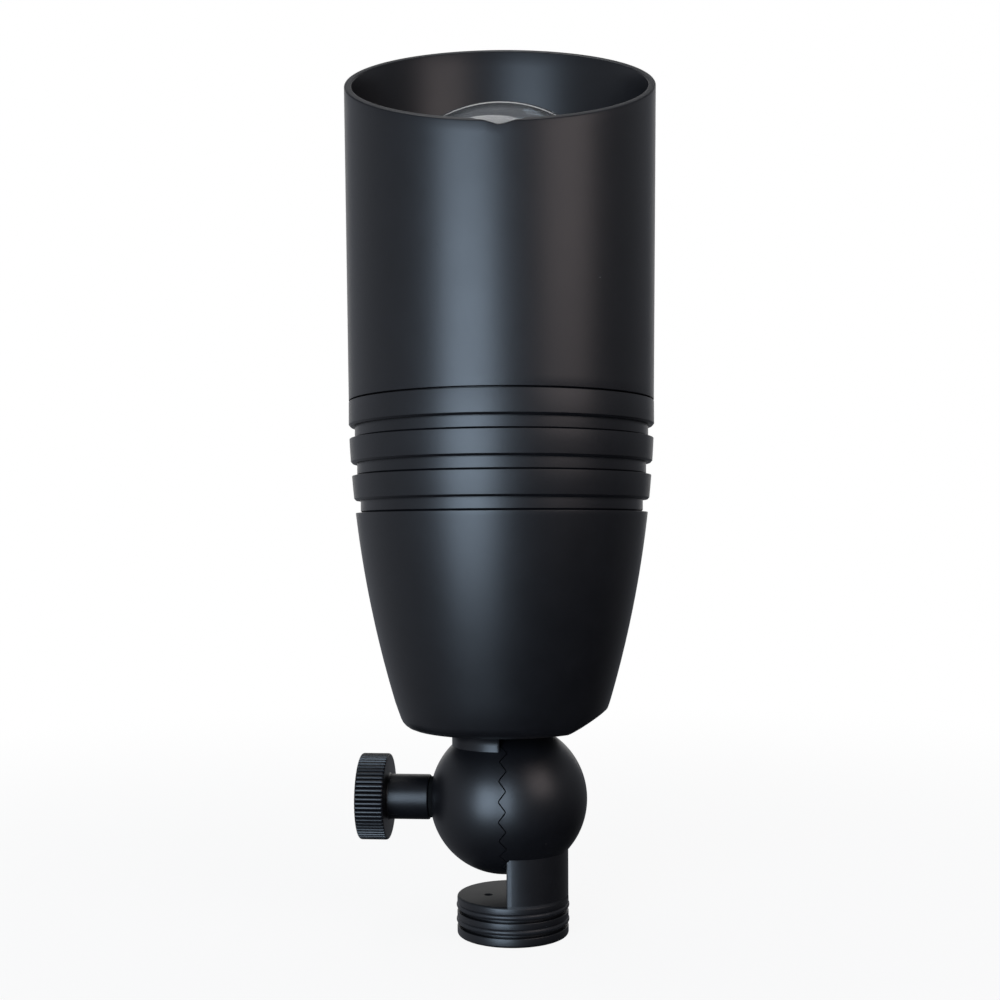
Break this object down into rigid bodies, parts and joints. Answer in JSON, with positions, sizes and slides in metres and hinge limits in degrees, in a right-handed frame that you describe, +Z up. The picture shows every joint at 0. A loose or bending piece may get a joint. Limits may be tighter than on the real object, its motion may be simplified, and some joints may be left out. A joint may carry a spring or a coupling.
{
  "type": "landscape spotlight",
  "caption": "Outdoor spotlight with a raked cowl over a domed lens, a ringed tapered housing and a toothed ball knuckle clamped by a knurled thumbscrew on a sealed plug-in stem.",
  "frame": {"origin": "centre of the plug's foot, on the plug's axis", "axes": "+Z up the plug and stem, +X along the tilt axis away from the thumbscrew, -Y towards the cowl's low lip"},
  "size_m": [0.0637, 0.0637, 0.1925],
  "materials": {
    "black_coat": "satin black powder coat",
    "black_anodised": "matt black anodised",
    "rubber_black": "moulded rubber",
    "silicone": "moulded silicone",
    "lens_glass": "polished glass",
    "insulator": "moulded nylon",
    "brass_plain": "turned brass",
    "stainless": "turned stainless steel",
    "lead_sleeve": "silicone lead sleeve",
    "circuit_board": "green solder mask",
    "component_black": "moulded component cases",
    "plate_aluminium": "machined aluminium",
    "pad_grey": "thermal silicone pad",
    "board_white": "white solder mask",
    "phosphor": "yellow phosphor"
  },
  "bodies": {
    "base": {"lower_knuckle": "black_coat", "plug_seals": "rubber_black", "contact_insert": "insulator", "contact_pins": "brass_plain", "base_leads": "lead_sleeve", "thread_insert": "brass_plain"},
    "clamp": {"clamp_washer": "rubber_black"},
    "thumbscrew": {"thumbscrew_knob": "black_coat", "thumbscrew_stud": "stainless"},
    "head": {"rear_housing": "black_coat", "lead_grommet": "rubber_black", "head_leads": "lead_sleeve", "driver_board": "circuit_board", "driver_posts": "plate_aluminium", "driver_parts": "component_black", "heat_spreader": "plate_aluminium", "spreader_screws": "stainless", "thermal_pad": "pad_grey", "led_board": "board_white", "led_emitter": "phosphor", "led_screws": "stainless", "led_leads": "lead_sleeve", "lens_barrel": "black_anodised", "lens_gasket": "silicone", "lens": "lens_glass", "lens_retainer": "black_anodised", "cowl_seal": "rubber_black"},
    "cowl": {"cowl": "black_coat"}
  },
  "joints": [
    {"name": "thumbscrew_turn", "type": "hinge", "parent": "clamp", "child": "thumbscrew", "pos_m": [0, 0, 0.0276], "axis": [-1, 0, 0], "range_deg": [0, 630]},
    {"name": "knuckle_release", "type": "slide", "parent": "base", "child": "clamp", "axis": [-1, 0, 0], "range_m": [0, 0.00222]},
    {"name": "head_tilt", "type": "hinge", "parent": "clamp", "child": "head", "pos_m": [0, 0, 0.0276], "axis": [1, 0, 0], "range_deg": [-90, 90]},
    {"name": "cowl_turn", "type": "hinge", "parent": "head", "child": "cowl", "pos_m": [-0.00192, 0, 0.113], "axis": [0, 0, 1], "continuous": true}
  ],
  "couplings": [
    {"joint": "thumbscrew_turn", "follows": "knuckle_release", "rad_per_m": 4947.4}
  ]
}
